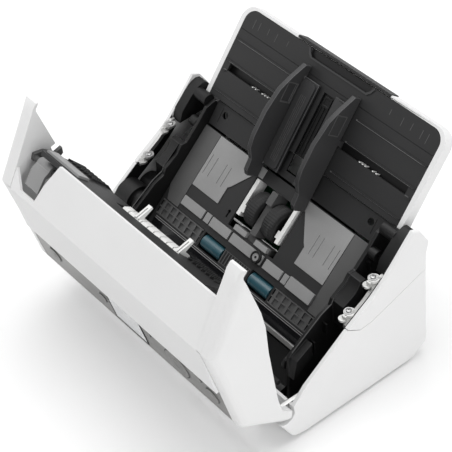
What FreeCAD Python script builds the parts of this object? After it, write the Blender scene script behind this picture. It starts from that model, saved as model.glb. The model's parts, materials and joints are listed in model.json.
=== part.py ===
import FreeCAD, Part
import math
import os
import re
import Sketcher

# Sheet fed document scanner, front cover open. Millimetres, +Z up, front towards -Y.
# Outlines are drawn from the foot of the front edge; depth_shift then moves every
# placement so that the origin is the middle of the footprint.
# Cover pieces are drawn shut and their placements swing them open about the hinge.

DIMENSIONS = {
    # whole body
    "half_width": 148.0,
    "skin": 4.0,
    "wall": 3.0,
    "depth_shift": 49.0,
    "foot_drop": 2.0,
    # front cover hinge
    "hinge_y": -20.7,
    "hinge_z": 36.4,
    "cover_open": 60.0,
    "pin_radius": 2.5,
    "lug_radius": 4.2,
    # paper path plane, its origin at the foot of the guide plates
    "path_y": 72.0,
    "path_z": 85.5,
    "path_angle": 43.6,
    "path_half": 112.6,
    "path_top": 52.6,
    "path_foot": 61.0,
    "floor_thick": 3.0,
    # rollers
    "pickup_u": 18.0,
    "pickup_drop": 8.0,
    "tyre_radius": 17.0,
    "tyre_inner": 5.5,
    "tyre_outer": 18.5,
    "hub_radius": 11.0,
    "shaft_radius": 2.5,
    "feed_u": -35.0,
    "feed_drop": 5.9,
    "feed_radius": 7.0,
    "feed_inner": 20.0,
    "feed_outer": 46.5,
    "exit_y": 2.0,
    "exit_z": 30.0,
    "exit_radius": 6.0,
    # input tray plane, its origin at the foot of the tray
    "tray_y": 126.6,
    "tray_z": 146.6,
    "tray_angle": 52.6,
    "tray_half": 130.0,
    "tray_length": 88.0,
    "tray_thick": 13.0,
    "surface_half": 124.6,
    "surface_top": 85.0,
    "surface_thick": 2.5,
    "slot_u": 27.5,
    "slot_half": 3.6,
    "slot_near": 29.0,
    "slot_far": 117.0,
    "extension_half": 55.0,
    # edge guides and their rack drive
    "fin_inner": 29.5,
    "fin_outer": 34.0,
    "ledge_inner": 11.0,
    "guide_lift": 1.2,
    "pinion_radius": 4.0,
    "pinion_teeth": 10.0,
    "rack_top": -3.2,
    "rack_foot": -6.0,
    "tooth_width": 0.9,
    # control panel plane, its origin at the foot of the panel
    "panel_y": -27.4,
    "panel_z": 85.3,
    "panel_angle": 43.9,
    "panel_half": 134.2,
    "panel_length": 45.6,
    "button_travel": 0.8,
    # cover
    "horn_inner": 129.7,
    "cheek_inner": 134.6,
    "inner_frame_half": 109.0,
    "latch_y": 77.0,
    "latch_z": 143.0,
    # output tray
    "output_half": 106.0,
    "output_z": 7.0,
    "output_thick": 3.0,
}

doc = FreeCAD.newDocument("document_scanner")


def make_sheet():
    """Put the driving dimensions into a spreadsheet as plain numbers with aliases."""
    sheet = doc.addObject("Spreadsheet::Sheet", "Dims")
    for row, (alias, value) in enumerate(DIMENSIONS.items(), start=1):
        sheet.set(f"A{row}", alias)
        sheet.set(f"B{row}", str(value))
        sheet.setAlias(f"B{row}", alias)
    doc.recompute()
    return sheet


make_sheet()


def bound(text):
    """Turn the aliases in an expression into references to the sheet."""
    return re.sub(
        r"[a-z][a-z_0-9]*",
        lambda word: f"Dims.{word[0]}" if word[0] in DIMENSIONS else word[0],
        str(text),
    )


def number(text):
    """The value of an expression in aliases and numbers, at the sheet's values."""
    words = {alias: value for alias, value in DIMENSIONS.items()}
    filled = re.sub(r"[a-z][a-z_0-9]*", lambda word: repr(words[word[0]]), str(text))
    box = doc.getObject("Gauge") or doc.addObject("Part::Box", "Gauge")
    box.setExpression("Placement.Base.x", filled)
    box.recompute()
    return box.Placement.Base.x


class Frame:
    """A drawing frame: turned about X and set at (y, z); a swinging one opens with the cover."""

    def __init__(self, y="0", z="0", angle="0", swings=False):
        self.y = y
        self.z = z
        self.angle = angle
        if swings:
            dy = f"({y} - hinge_y)"
            dz = f"({z} - hinge_z)"
            self.y = f"hinge_y + {dy} * cos(cover_open) - {dz} * sin(cover_open)"
            self.z = f"hinge_z + {dy} * sin(cover_open) + {dz} * cos(cover_open)"
            self.angle = f"{angle} + cover_open"

    def place(self, body):
        """Bind a body's Placement to this frame."""
        axis = FreeCAD.Vector(1, 0, 0)
        body.Placement = FreeCAD.Placement(FreeCAD.Vector(), FreeCAD.Rotation(axis, 1))
        body.setExpression("Placement.Base.y", bound(f"{self.y} - depth_shift"))
        body.setExpression("Placement.Base.z", bound(self.z))
        body.setExpression("Placement.Rotation.Angle", bound(self.angle))


BASE = Frame()
PATH = Frame("path_y", "path_z", "path_angle")
TRAY = Frame("tray_y", "tray_z", "tray_angle")
COVER = Frame(swings=True)
COVER_PATH = Frame("path_y", "path_z", "path_angle", swings=True)
PANEL = Frame("panel_y", "panel_z", "panel_angle", swings=True)

PLANES = {"x": "YZ_Plane", "y": "XZ_Plane", "z": "XY_Plane"}
PIECES = []


class Piece:
    """One sub-part: a body with a label of its own, built up feature by feature."""

    def __init__(self, name, frame):
        self.body = doc.addObject("PartDesign::Body", name)
        self.body.Label = name
        frame.place(self.body)
        PIECES.append(self.body)

    def origin_feature(self, role):
        """The body's own origin plane or axis with this role."""
        return next(item for item in self.body.Origin.OriginFeatures if item.Role == role)

    def attach(self, feature, axis, across, span):
        """Lay a feature on the origin plane across an axis, from the low end of its span."""
        feature.AttachmentSupport = (self.origin_feature(PLANES[axis]), [""])
        feature.MapMode = "FlatFace"
        start = f"-({span[1]})" if axis == "y" else span[0]
        for coordinate, value in zip("xyz", (across[0], across[1], start)):
            feature.setExpression(f"AttachmentOffset.Base.{coordinate}", bound(value))

    def finish(self, feature, cut):
        """Recompute, and make sure that a cut has taken something away."""
        doc.recompute()
        if cut and feature.Shape.Volume >= self.before:
            raise RuntimeError(f"{self.body.Label}: {feature.Name} cuts nothing")
        return feature

    def start(self, kind, cut):
        """Add a feature, and keep the volume before it."""
        self.before = self.body.Shape.Volume if self.body.Tip else 0.0
        return self.body.newObject(f"PartDesign::{kind}", kind)

    def box(self, x, y, z, cut=False):
        """A block between three pairs of limits."""
        block = self.start("SubtractiveBox" if cut else "AdditiveBox", cut)
        self.attach(block, "z", (x[0], y[0]), z)
        for side, (low, high) in zip(("Length", "Width", "Height"), (x, y, z)):
            block.setExpression(side, bound(f"({high}) - ({low})"))
        return self.finish(block, cut)

    def rod(self, axis, centre, radius, span, cut=False):
        """A cylinder along an axis; centre is in the plane across it."""
        rod = self.start("SubtractiveCylinder" if cut else "AdditiveCylinder", cut)
        self.attach(rod, axis, centre, span)
        rod.setExpression("Radius", bound(radius))
        rod.setExpression("Height", bound(f"({span[1]}) - ({span[0]})"))
        return self.finish(rod, cut)

    def outline(self, axis, points, span, cut=False):
        """A closed outline in the plane across an axis, padded or cut over a span."""
        self.before = self.body.Shape.Volume if self.body.Tip else 0.0
        sketch = self.body.newObject("Sketcher::SketchObject", "Outline")
        self.attach(sketch, axis, ("0", "0"), span)
        values = [FreeCAD.Vector(number(a), number(b), 0) for a, b in points]
        count = len(points)
        for index in range(count):
            sketch.addGeometry(Part.LineSegment(values[index], values[(index + 1) % count]))
        for index in range(count):
            sketch.addConstraint(Sketcher.Constraint("Coincident", index, 2, (index + 1) % count, 1))
        for index, (point, value) in enumerate(zip(points, values)):
            for kind, text, size in zip(("DistanceX", "DistanceY"), point, value):
                place = sketch.addConstraint(Sketcher.Constraint(kind, -1, 1, index, 1, size))
                if isinstance(text, str):
                    sketch.setExpression(f"Constraints[{place}]", bound(text))
        pad = self.body.newObject("PartDesign::Pocket" if cut else "PartDesign::Pad", "Solid")
        pad.Profile = sketch
        pad.Reversed = cut
        pad.setExpression("Length", bound(f"({span[1]}) - ({span[0]})"))
        return self.finish(pad, cut)

    def repeat(self, feature, axis, length, count, cut=False):
        """Repeat a feature along an origin axis, evenly over a length."""
        self.before = self.body.Shape.Volume
        pattern = self.body.newObject("PartDesign::LinearPattern", "Row")
        pattern.Originals = [feature]
        pattern.Direction = (self.origin_feature(f"{axis}_Axis"), [""])
        pattern.Length = length
        pattern.Occurrences = count
        self.body.Tip = pattern
        return self.finish(pattern, cut)

    def soften(self, radius, chosen):
        """Round the edges that a test on their middle point and direction chooses."""
        doc.recompute()
        base = self.body.Tip
        names = []
        for index, edge in enumerate(base.Shape.Edges, start=1):
            middle = 0.5 * (edge.FirstParameter + edge.LastParameter)
            point = edge.valueAt(middle)
            direction = edge.tangentAt(middle)
            if chosen(point, direction):
                names.append(f"Edge{index}")
        if not names:
            raise RuntimeError(f"{self.body.Label}: no edge to round")
        fillet = self.body.newObject("PartDesign::Fillet", "Round")
        fillet.Base = (base, names)
        fillet.Radius = radius
        doc.recompute()
        if "Invalid" in fillet.State:
            raise RuntimeError(f"{self.body.Label}: round of {radius} failed")
        return fillet


def sided(sign, low, high):
    """The limits of a span across X on the left (-1) or the right (+1)."""
    return (f"-({high})", f"-({low})") if sign < 0 else (str(low), str(high))


SIDES = {"left": -1, "right": 1}
# Where the screws of the latch plates stand, (y, z).
LATCH_SCREWS = [(59, 99.5), (86.5, 120.5)]

# Side view of the base, (y, z): seam is the edge that the front cover closes on.
SEAM = [(-12.5, 42.5), (-5.0, 50.0), (1.3, 56.8), (48.0, 91.0)]
SEAM_REAR = [(75.0, 108.3), (90.0, 121.0), (121.5, 156.0)]
HINGE_RELIEF = [(-26.8, 28.2), (-20.7, 27.0), (-15.0, 28.8), (-11.5, 34.0)]
# Side view of the shut cover, (y, z).
COVER_FRONT = [(-28.6, 42.0), (-27.6, 81.2), (-27.4, 85.3), (5.7, 117.2), (45.5, 157.0)]
HORN_TIP = [(112, 159.4), (121, 160), (126.5, 158.8), (127.6, 156.4), (121.4, 156.9), (119.5, 156.2)]
COVER_SEAM = [(119.5, 156.2), (89.0, 123.0), (74.5, 110.4), (49.0, 93.8), (0.0, 57.8), (-5.5, 53.0)]
COVER_LUG = [(-13.5, 45.0), (-14.5, 39.5), (-15.5, 31.8), (-22.0, 29.6), (-27.2, 35.0)]


def make_base_pan():
    pan = Piece("base_pan", BASE)
    pan.box(("skin - half_width + 0.3", "half_width - skin - 0.3"), ("4", "122"), ("foot_drop", "foot_drop + wall"))
    for y in (30, 52, 74, 96):
        slot = pan.box(("-60", "-54"), (y, y + 12), ("foot_drop - 1", "foot_drop + wall + 1"), cut=True)
        pan.repeat(slot, "X", 114, 12, cut=True)


def near(point, *places):
    """Whether a point is within a millimetre of one of some places (y, z)."""
    return any(math.hypot(point.y - y, point.z - z) < 1.0 for y, z in places)


def make_side_panels():
    lower = [(0, "foot_drop"), (126, "foot_drop"), (142.5, 15), (138.5, 104.6), (75, 83), (62, 82.2)]
    lower += SEAM[::-1] + HINGE_RELIEF[::-1] + [(-13, 4.2)]
    upper = [(138.5, 105.2), (138, 122.4), (140.7, 134.2), (129.5, 152.6)]
    upper += SEAM_REAR[::-1] + [(48.9, 91.6), (62.2, 82.8), (75, 83.6)]
    for side, sign in SIDES.items():
        span = sided(sign, "half_width - skin", "half_width")
        outer = sign * DIMENSIONS["half_width"]
        panel = Piece(f"side_panel_{side}", BASE)
        panel.outline("x", lower, span)
        panel.soften(9, lambda p, d: abs(d.x) > 0.9 and near(p, (142.5, 15), (-13, 4.2), (126, 2)))
        panel.soften(2.5, lambda p, d: abs(p.x - outer) < 0.1 and (p.z < 22 or p.y > 136))
        trim = Piece(f"side_trim_{side}", BASE)
        trim.outline("x", upper, span)
        trim.soften(1.8, lambda p, d: abs(p.x - outer) < 0.1 and p.z > 107)


def make_rear_cover():
    rear = Piece("rear_cover", BASE)
    band = [(126, "foot_drop"), (142.5, 15), (138.3, 118), (140.7, 132.6)]
    band += [(137.5, 132.8), (135.2, 118), (139.4, 16.4), (125, 5)]
    rear.outline("x", band, ("skin - half_width + 0.2", "half_width - skin - 0.2"))
    rear.soften(9, lambda p, d: abs(d.x) > 0.9 and near(p, (142.5, 15)))
    slot = rear.box(("-52", "-49"), ("130", "145"), ("70", "100"), cut=True)
    rear.repeat(slot, "X", 102, 18, cut=True)
    rear.box(("-88", "-76"), ("130", "150"), ("20", "31"), cut=True)
    rear.rod("y", ("-102", "25.5"), "6", ("130", "150"), cut=True)
    rear.box(("116", "123"), ("130", "150"), ("24", "27"), cut=True)


def make_front_fascia():
    front = Piece("front_fascia", BASE)
    band = [(0, "foot_drop"), (-13, 4.2), (-26.8, 28.2), (-20.7, 27), (-15, 28.8), (-11.9, 33), (-12.1, 41)]
    band += [(-9.1, 41), (-8.9, 32), (-13.2, 26.2), (-20.5, 24), (-22.5, 24), (-11.8, 6.6), (0, 5)]
    front.outline("x", band, ("skin - half_width + 0.2", "half_width - skin - 0.2"))
    front.soften(9, lambda p, d: abs(d.x) > 0.9 and near(p, (-13, 4.2)))
    front.box(("-output_half - 1.5", "output_half + 1.5"), ("-30", "2"), ("0", "output_z + 6"), cut=True)
    front.box(("-112", "112"), ("-40", "-5"), ("output_z + 9", "45"), cut=True)
    # room for the folded stopper, and a notch round each hinge lug
    front.box((-47, 47), ("-30", "-5"), ("output_z + 5", "output_z + 10"), cut=True)
    for sign in SIDES.values():
        front.box(sided(sign, 136.1, 140.9), ("-30", "-5"), ("29", "45"), cut=True)


def make_inner_walls():
    profile = [(8, 10), (128, 10), (132.5, 118), (132.5, 134), (121.8, 142.8), (112, 140), (100, 127)]
    profile += [(86, 113.5), (80, 113.5), (74, 106), (60, 97), (57, 90.5), (46, 86.5), (10, 61)]
    for side, sign in SIDES.items():
        wall = Piece(f"inner_wall_{side}", BASE)
        wall.outline("x", profile, sided(sign, 113, 116.6))
        wall.outline("x", [(60, 70), (78, 84), (86, 113), (80, 113), (74, 104), (60, 96)], sided(sign, 116.6, 129.6))
    # the left side has the drive housing here
    wall.outline("x", [(8, 40), (30, 54), (30, 70), (12, 60)], (116.6, 124))


def make_tray_sockets():
    sockets = Piece("tray_sockets", BASE)
    profile = [(94, 120), (98, 131), (110, 143.4), (118, 149.6), (124, 151.6), (128.5, 150.4), (135, 141), (134.8, 122)]
    for sign in SIDES.values():
        sockets.outline("x", profile, sided(sign, 132.9, 143.8))
        sockets.rod("x", ("118", "143"), 6, sided(sign, 117, 133))


def make_latch_plates():
    plates = Piece("latch_plates", BASE)
    ledge = [(50, 88.5), (50, 92.5), (62, 101), (72, 107), (90, 121.6), (94, 121.6), (92, 117), (72, 102)]
    for sign in SIDES.values():
        plates.outline("x", ledge, sided(sign, 140.2, 143.4))
        for y, z in LATCH_SCREWS:
            plates.rod("z", (sign * 138.4, y), 5.2, (z - 2, z))
            plates.rod("z", (sign * 137.6, y - 7), 3.8, (z - 5.5, z - 3.5))
            plates.box(sided(sign, 136.5, 141), (y - 7, y), (z - 5.5, z - 0.6))
    screws = Piece("bracket_screws", BASE)
    for sign in SIDES.values():
        for y, z in LATCH_SCREWS:
            screws.rod("z", (sign * 137.5, y), 2.6, (z, z + 1.5))


def make_feet():
    feet = Piece("rubber_feet", BASE)
    for x in (-126, 126):
        for y in (18, 108):
            feet.rod("z", (x, y), 7, ("0", "foot_drop"))


def make_electrics():
    board = Piece("main_board", BASE)
    board.box(("-111", "96"), ("117.4", "119"), ("16", "92"))
    for x, z, size in ((-60, 40, 22), (-10, 30, 14), (20, 56, 18), (60, 30, 12)):
        board.box((x, x + size), ("114.4", "117.6"), (z, z + size))
    board.box(("-87.8", "-76.2"), ("118.8", "137"), ("20.2", "30.8"))
    board.box(("-85.5", "-78.5"), ("128", "139"), ("22.5", "28.5"), cut=True)
    board.rod("y", ("-102", "25.5"), 5.8, ("117.4", "137"))
    board.rod("y", ("-102", "25.5"), 3.2, ("125", "139"), cut=True)
    board.rod("y", ("-102", "25.5"), 1.0, ("124", "136"))
    motor = Piece("drive_motor", BASE)
    motor.rod("x", ("80", "36"), 18, ("-106", "-72"))
    motor.rod("x", ("80", "36"), 6, ("-111", "-106"))
    motor.rod("x", ("80", "36"), 2, ("-112.6", "-111"))
    housing = Piece("drive_housing", BASE)
    housing.rod("x", ("34", "66"), 15, ("-142.5", "-124.5"))
    housing.rod("x", ("34", "66"), 11, ("-124.5", "-117"))
    housing.rod("x", ("58", "62"), 13, ("-142.5", "-130"))


def make_hinge_lugs():
    lugs = Piece("hinge_lugs", BASE)
    arm = [(-20.7, 40.4), (-20.7, 32.4), (-8, 30), (6, 14), (12, 14), (12, 40), (-8, 40.4)]
    for sign in SIDES.values():
        lugs.outline("x", arm, sided(sign, 136.5, 140.5))
        lugs.rod("x", ("hinge_y", "hinge_z"), "lug_radius", sided(sign, 136.5, 140.5))
        lugs.rod("x", ("hinge_y", "hinge_z"), "pin_radius", sided(sign, 140.5, 146.5))


def make_exit_path():
    ramp = Piece("exit_ramp", BASE)
    ramp.outline("x", [(27.5, 40), (8, 22), (-14, 19), (-14, 16), (10, 18.6), (30, 37)], (-112, 112))
    roller = Piece("exit_roller", BASE)
    roller.rod("x", ("exit_y", "exit_z + 1.2"), "shaft_radius", (-111, 111))
    for x in (-62, -14, 34):
        roller.rod("x", ("exit_y", "exit_z + 1.2"), "exit_radius", (x, x + 28))


def make_output_tray():
    tray = Piece("output_tray", BASE)
    foot = "output_z"
    top = "output_z + output_thick"
    tray.box(("-output_half", "output_half"), (-8, 108), (foot, top))
    tray.outline("x", [(-8, foot), (-11.6, foot), (-16.6, 12.6), (-14, 12.6), (-8, top)], ("-output_half", "output_half"))
    tray.box((-46, 46), (-20, -10), ("output_z - 1", "output_z + 12"), cut=True)
    slot = tray.box((-80, -60), (20, 90), ("output_z + output_thick - 1", "output_z + 9"), cut=True)
    tray.repeat(slot, "X", 140, 5, cut=True)
    stopper = Piece("output_stopper", BASE)
    stopper.outline("x", [(-14, 8), (-22.6, 22), (-20.6, 23.2), (-12, 9.2)], (-45, 45))
    stopper.rod("x", (-13, 8.6), 1.5, (-45.6, 45.6))


def make_path_floor():
    floor = Piece("path_floor", PATH)
    floor.box(("-path_half", "path_half"), ("-path_foot", "path_top"), ("-floor_thick", "0"))
    floor.box((-31, 31), (-9, 41), (-4, 1), cut=True)
    for sign in SIDES.values():
        floor.box(sided(sign, 18.5, 48), (-43, -27), (-4, 1), cut=True)
        floor.box(sided(sign, 50, 110), (-42.4, -26.4), (-4, 1), cut=True)
    floor.box(("4 - path_half", "path_half - 4"), (-56.5, -46.5), (-4, 1), cut=True)
    floor.rod("z", (-37.3, 1), 1.7, (-4, 1), cut=True)
    floor.box((-38.2, -36.4), (-5, 1), (-4, 1), cut=True)
    for x in (-100, 94):
        floor.rod("z", (x + 3, 48), 2.2, (-1, 1), cut=True)


def make_plates():
    plates = Piece("guide_plates", PATH)
    for sign in SIDES.values():
        edge = [(sign * a, b) for a, b in ((90, 0.2), (90, 52), (24.5, 52), (24.5, 42.5), (34, 42.5))]
        edge += [(sign * a, b) for a, b in ((50, 20), (53, 17), (53, 0.2))]
        plates.outline("z", edge, ("0", "0.9"))
        for x in (60, 66, 79, 86):
            plates.box(sided(sign, x, x + 0.7), (14, 34), ("0.2", "1.5"), cut=True)
    floors = Piece("side_floors", PATH)
    for sign in SIDES.values():
        edge = [(sign * a, b) for a, b in ((90.7, -25.6), (90.7, 52.4), (112.4, 52.4), (112.4, -12), (106, -25.6))]
        floors.outline("z", edge, ("0", "0.7"))
    blocks = Piece("entry_blocks", PATH)
    for x0, x1, top in ((-89, -59, 2.2), (-57, -50, 1.4), (-48, -22, 2.2), (-19, 23, 2.6), (27, 49, 2.2), (51, 57, 1.4)):
        blocks.box((x0, x1), (-20.5, -11.5), ("0", top))
    blocks.box((59, 90), (-21, -10), ("0", "3.2"))
    for sign in SIDES.values():
        blocks.box(sided(sign, 6, 22), (-8.8, -3.8), ("-2", "2.2"))
    blocks.rod("z", (17.4, -16), 5.2, ("2.6", "4.6"))


def make_pickup():
    axis_height = "-pickup_drop"
    web = Piece("roller_web", PATH)
    web.box((-3.6, 3.6), (-2.5, 41), ("-12", "2.5"))
    web.box((-3.6, 3.6), (28, 41), ("2.5", "6"))
    web.box((-23, 23), (-9, -3.6), ("-14", "-2.1"))
    web.rod("x", ("pickup_u", axis_height), "shaft_radius + 0.05", (-5, 5), cut=True)
    arms = Piece("roller_arms", PATH)
    for sign in SIDES.values():
        arms.box(sided(sign, 24.2, 28.2), (4, 41), ("-10.5", "2.2"))
        arms.box(sided(sign, 21.5, 24.4), (8, 15), ("-2", "2.2"))
        arms.rod("x", ("pickup_u", axis_height), "shaft_radius + 0.05", sided(sign, 24, 28.4), cut=True)
    shaft = Piece("pickup_shaft", PATH)
    shaft.rod("x", ("pickup_u", axis_height), "shaft_radius", (-29.5, 29.5))
    tyres = Piece("pickup_tyres", PATH)
    for sign in SIDES.values():
        span = sided(sign, "tyre_inner", "tyre_outer")
        shaft.rod("x", ("pickup_u", axis_height), "hub_radius", span)
        tyres.rod("x", ("pickup_u", axis_height), "tyre_radius", span)
        tyres.rod("x", ("pickup_u", axis_height), "hub_radius", sided(sign, "tyre_inner - 1", "tyre_outer + 1"), cut=True)


def make_feed():
    shaft = Piece("feed_shaft", PATH)
    shaft.rod("x", ("feed_u", "-feed_drop"), "shaft_radius", (-111.5, 111.5))
    rollers = Piece("feed_rollers", PATH)
    for sign in SIDES.values():
        span = sided(sign, "feed_inner", "feed_outer")
        rollers.rod("x", ("feed_u", "-feed_drop"), "feed_radius", span)
        rollers.rod("x", ("feed_u", "-feed_drop"), "shaft_radius", sided(sign, "feed_inner - 1", "feed_outer + 1"), cut=True)


def make_rib_grids():
    grids = Piece("rib_grids", PATH)
    for sign in SIDES.values():
        grids.box(sided(sign, 50.4, 109.6), (-42, -26.8), ("-2.8", "-1.4"))
        rail = grids.box(sided(sign, 50.4, 109.6), (-42, -40.8), ("-1.5", "0.6"))
        grids.repeat(rail, "Y", 14.0, 3)
        low = sign * 52.0 if sign > 0 else -106.6
        rib = grids.box((low, low + 3), (-40.9, -27.8), ("-1.5", "0.3"))
        grids.repeat(rib, "X", 51.6, 7)


def make_scan_unit():
    unit = Piece("sensor_unit", PATH)
    unit.box(("5 - path_half", "path_half - 5"), (-56.2, -46.8), ("-16", "-1.6"))
    glass = Piece("lower_glass", PATH)
    glass.box(("5 - path_half", "path_half - 5"), (-56.2, -46.8), ("-1.6", "0.2"))
    bar = Piece("clamp_bar", PATH)
    bar.box(("2 - path_half", "path_half - 2"), (-61, -57.2), ("0", "1.6"))


def make_tray():
    shell = Piece("tray_shell", TRAY)
    shell.box(("-tray_half", "tray_half"), (-3, "tray_length"), ("-tray_thick", "0"))
    shell.soften(15, lambda p, d: abs(p.x) > 129 and p.y > 80 and abs(d.z) > 0.9)
    shell.soften(3, lambda p, d: p.z < -12.5 and p.y > -2.5)
    shell.box(("-surface_half - 0.2", "surface_half + 0.2"), (-4, "surface_top - 12"), ("-surface_thick - 0.1", "1"), cut=True)
    shell.box(("12 - surface_half", "surface_half - 12"), (50, "surface_top + 0.2"), ("-surface_thick - 0.1", "1"), cut=True)
    for sign in SIDES.values():
        shell.rod("z", (f"{sign} * (surface_half - 12)", "surface_top - 12"), 12.2, ("-surface_thick - 0.1", "1"), cut=True)
    shell.box((-121, 121), (17, 38), ("rack_foot - 0.5", "-surface_thick"), cut=True)
    shell.box((-9, 9), (-4, 60), ("-5", "-surface_thick"), cut=True)
    shell.rod("z", (0, "slot_u"), 1.3, ("rack_foot - 0.6", "rack_top - 0.2"))
    shell.box(("-extension_half - 0.6", "extension_half + 0.6"), (4, "tray_length + 1"), ("-11.8", "-7.3"), cut=True)
    shell.box((-59.5, 59.5), (85.5, "tray_length + 1"), ("-11.8", "1"), cut=True)
    surface = Piece("tray_surface", TRAY)
    surface.box(("-surface_half", "surface_half"), (-3, "surface_top - 12"), ("-surface_thick", "0"))
    surface.box(("12 - surface_half", "surface_half - 12"), ("surface_top - 12", "surface_top"), ("-surface_thick", "0"))
    for sign in SIDES.values():
        surface.rod("z", (f"{sign} * (surface_half - 12)", "surface_top - 12"), 12, ("-surface_thick", "0"))
        slot = sided(sign, "slot_near", "slot_far")
        surface.box(slot, ("slot_u - slot_half", "slot_u + slot_half"), ("-surface_thick - 1", "1"), cut=True)
        for u in (3, 32.2, 53.6):
            surface.box(sided(sign, 40, 123.5), (u, u + 1.5), ("-0.2", "1"))
        surface.box(sided(sign, 118.5, 123.5), (22, 23.4), ("-0.2", "1"))
    surface.box((-5.5, 7.5), (-4, 58), ("-surface_thick - 1", "1"), cut=True)
    surface.box((-127, 127), (64, 64.6), ("-0.7", "1"), cut=True)
    surface.box((-38, 38), (77.5, "surface_top + 1"), ("-1.9", "1"), cut=True)


def make_tray_extension():
    extension = Piece("tray_extension", TRAY)
    extension.box(("-extension_half", "extension_half"), (6, 86.4), ("-11.4", "-7.7"))
    extension.box((-58.6, 58.6), (86.2, 88.6), ("-11.4", "0.6"))
    rib = extension.box((-57, -56), (86.2, 88.6), ("0.6", "1"))
    extension.repeat(rib, "X", 113, 29)
    slot = extension.box((-40, -34), (20, 70), ("-8.7", "-6"), cut=True)
    extension.repeat(slot, "X", 74, 5, cut=True)


def make_edge_guides():
    lift = "guide_lift"
    fin = [(-40, lift), (-40.5, 15), (-36, 19), (-25, 20), (-14, 28.5), (-3, 31), (22, 31), (44, 26.5), (57, 19)]
    fin += [(71, 9), (71, lift)]
    pitch = math.pi * 2 * DIMENSIONS["pinion_radius"] / DIMENSIONS["pinion_teeth"]
    for side, sign in SIDES.items():
        guide = Piece(f"edge_guide_{side}", TRAY)
        guide.outline("x", fin, sided(sign, "fin_inner", "fin_outer"))
        guide.box(sided(sign, "ledge_inner", "fin_inner"), (-26, 61), (lift, "guide_lift + 2.6"))
        guide.box(sided(sign, 29.2, 31), (34, 52), (8, 20), cut=True)
        guide.box(sided(sign, 30.5, 33.5), ("slot_u - 2.4", "slot_u + 2.4"), ("rack_foot", "guide_lift + 0.4"))
        # the rack runs across the tray on its own side of the pinion
        line = f"slot_u - ({sign}) * pinion_radius"
        back = f"{line} - ({sign}) * 0.9"
        far = f"{line} - ({sign}) * 3.4"
        low, high = (far, back) if sign > 0 else (back, far)
        guide.box(sided(-sign, -33.5, 82), (low, high), ("rack_foot", "rack_top"))
        link = (low, "slot_u") if sign > 0 else ("slot_u", high)
        guide.box(sided(sign, 30.5, 33.5), link, ("rack_foot", "rack_top"))
        tip = f"{line} + ({sign}) * 0.7"
        tooth = (back, tip) if sign > 0 else (tip, back)
        start = -31.5 * pitch if sign > 0 else -11.5 * pitch
        half = DIMENSIONS["tooth_width"] / 2
        first = guide.box((start - half, start + half), tooth, ("rack_foot", "rack_top"))
        guide.repeat(first, "X", 43 * pitch, 44)
    pinion = Piece("guide_pinion", TRAY)
    pinion.rod("z", (0, "slot_u"), 2.9, ("rack_foot", "rack_top"))
    teeth = int(DIMENSIONS["pinion_teeth"])
    spoke = pinion.box(("-tooth_width / 2", "tooth_width / 2"), ("slot_u", "slot_u + 4.5"), ("rack_foot", "rack_top"))
    for index in range(1, teeth):
        turned = pinion.start("AdditiveBox", False)
        turned.AttachmentSupport = spoke.AttachmentSupport
        turned.MapMode = "FlatFace"
        angle = math.radians(360.0 * index / teeth)
        x = -half * math.cos(angle)
        y = DIMENSIONS["slot_u"] - half * math.sin(angle)
        spin = FreeCAD.Rotation(FreeCAD.Vector(0, 0, 1), math.degrees(angle))
        turned.AttachmentOffset = FreeCAD.Placement(FreeCAD.Vector(x, y, DIMENSIONS["rack_foot"]), spin)
        turned.setExpression("Length", bound("tooth_width"))
        turned.Width = 4.5
        turned.setExpression("Height", bound("rack_top - rack_foot"))
        pinion.finish(turned, False)
    pinion.rod("z", (0, "slot_u"), 1.4, ("rack_foot - 1", "rack_top + 1"), cut=True)


def make_channel():
    insert = Piece("channel_insert", TRAY)
    insert.box((-5.2, 7.2), (-2.8, 57.8), ("-2.9", "-2.1"))
    for x in (-3.6, 0.4, 4.4):
        insert.box((x, x + 1), (-2.8, 46), ("-2.2", "-1.2"))
    insert.box((-3, 6), (46, 56), ("-2.2", "-0.4"))
    insert.box((-1.6, 4.6), (48, 54), ("-1", "0.5"), cut=True)
    flap = Piece("entry_flap", TRAY)
    flap.box((-112.2, 112.2), (-27.5, -4.2), ("-4.2", "-2.4"))
    for sign in SIDES.values():
        flap.rod("z", (sign * 97.7, -13), 3.4, ("-6", "0"), cut=True)
        flap.box(sided(sign, 102.4, 103.2), (-22, -8), ("-3", "0"), cut=True)
    flap.box((-7, 9), (-21, -4), ("-6", "0"), cut=True)


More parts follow.
